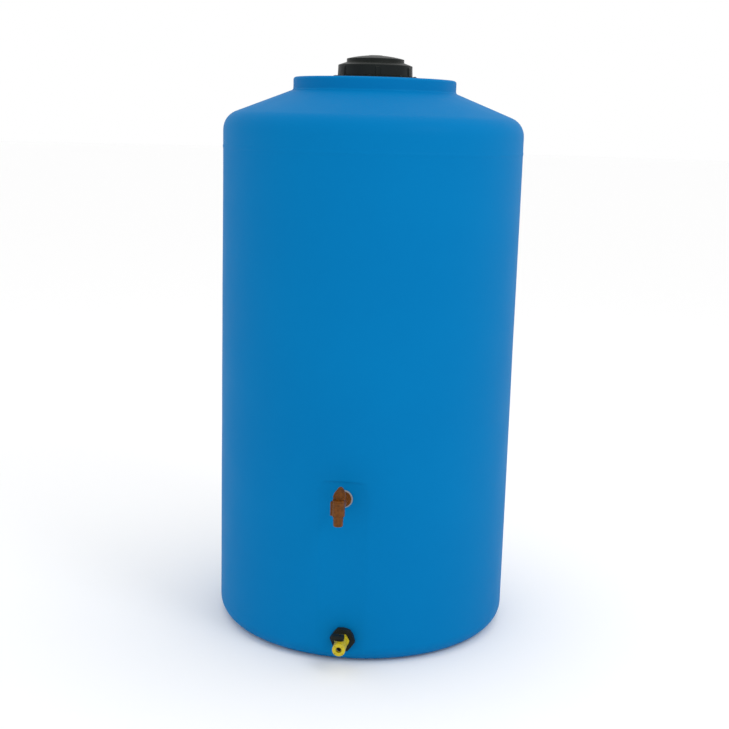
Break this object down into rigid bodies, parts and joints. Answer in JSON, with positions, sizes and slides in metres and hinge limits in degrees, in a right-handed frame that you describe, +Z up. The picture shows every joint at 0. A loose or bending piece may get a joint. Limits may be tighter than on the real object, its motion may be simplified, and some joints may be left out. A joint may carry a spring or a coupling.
{
  "type": "livestock water tank",
  "caption": "Upright cylindrical blue polyethylene water tank with a vented screw lid on a raised collar, a plug tap on the front and a quarter-turn drain valve at the foot.",
  "frame": {"origin": "centre of the tank's flat base, on the floor", "axes": "+Z up along the tank's axis; -Y out of the flat panel that carries the tap and the drain valve; +X to the right as seen from the back"},
  "size_m": [0.9176, 1.0284, 1.7612],
  "materials": {
    "blue_polyethylene": "rotomoulded, satin with a fine orange-peel texture",
    "black_polypropylene": "moulded, semi-matt",
    "brown_tap_plastic": "moulded, semi-gloss",
    "yellow_valve_plastic": "moulded, semi-gloss",
    "black_rubber": "matt",
    "grey_rubber": "matt",
    "white_plastic": "smooth",
    "stainless_steel": "bright rolled",
    "blackened_steel": "black oxide, semi-matt"
  },
  "bodies": {
    "tank": {"tank_shell": "blue_polyethylene", "neck_ring": "black_polypropylene", "neck_gasket": "black_rubber", "neck_screw_1": "blackened_steel", "neck_screw_2": "blackened_steel", "neck_screw_3": "blackened_steel", "neck_screw_4": "blackened_steel", "neck_screw_5": "blackened_steel", "neck_screw_6": "blackened_steel", "neck_screw_7": "blackened_steel", "neck_screw_8": "blackened_steel", "tap_body": "brown_tap_plastic", "tap_outer_washer": "grey_rubber", "tap_inner_washer": "black_rubber", "tap_lock_nut": "brown_tap_plastic", "bulkhead_body": "black_polypropylene", "bulkhead_gasket": "black_rubber", "bulkhead_slip_washer": "black_polypropylene", "bulkhead_nut": "black_polypropylene", "valve_body": "yellow_valve_plastic", "valve_end_cap": "yellow_valve_plastic", "valve_seat_inlet": "white_plastic", "valve_seat_outlet": "white_plastic"},
    "lid_gasket": {"lid_gasket": "black_rubber"},
    "lid_vent": {"vent_body": "black_polypropylene", "vent_cap": "black_polypropylene", "vent_screen": "stainless_steel"},
    "lid": {"lid": "black_polypropylene"},
    "tap_plug": {"tap_plug": "brown_tap_plastic", "tap_o_ring_upper": "black_rubber", "tap_o_ring_lower": "black_rubber"},
    "valve_handle": {"valve_handle": "black_polypropylene", "valve_handle_screw": "blackened_steel", "valve_stem": "white_plastic", "valve_stem_o_ring": "black_rubber", "valve_ball": "black_polypropylene"}
  },
  "joints": [
    {"name": "lid_lift_off", "type": "slide", "parent": "tank", "child": "lid_gasket", "axis": [0, 0, 1], "range_m": [0, 0.25]},
    {"name": "lid_rise", "type": "slide", "parent": "lid_gasket", "child": "lid_vent", "axis": [0, 0, 1], "range_m": [0, 0.009]},
    {"name": "lid_unscrew", "type": "hinge", "parent": "lid_vent", "child": "lid", "pos_m": [0, 0, 1.6915], "axis": [0, 0, 1], "range_deg": [0, 540]},
    {"name": "tap_plug_turn", "type": "hinge", "parent": "tank", "child": "tap_plug", "pos_m": [0.001, -0.55161, 0.505], "axis": [0, 0, 1], "range_deg": [0, 90]},
    {"name": "valve_handle_turn", "type": "hinge", "parent": "tank", "child": "valve_handle", "pos_m": [0.009, -0.51461, 0.079], "axis": [0, 0, 1], "range_deg": [0, 90]}
  ],
  "couplings": [
    {"joint": "lid_rise", "follows": "lid_unscrew", "m_per_rad": 0.00095492}
  ]
}
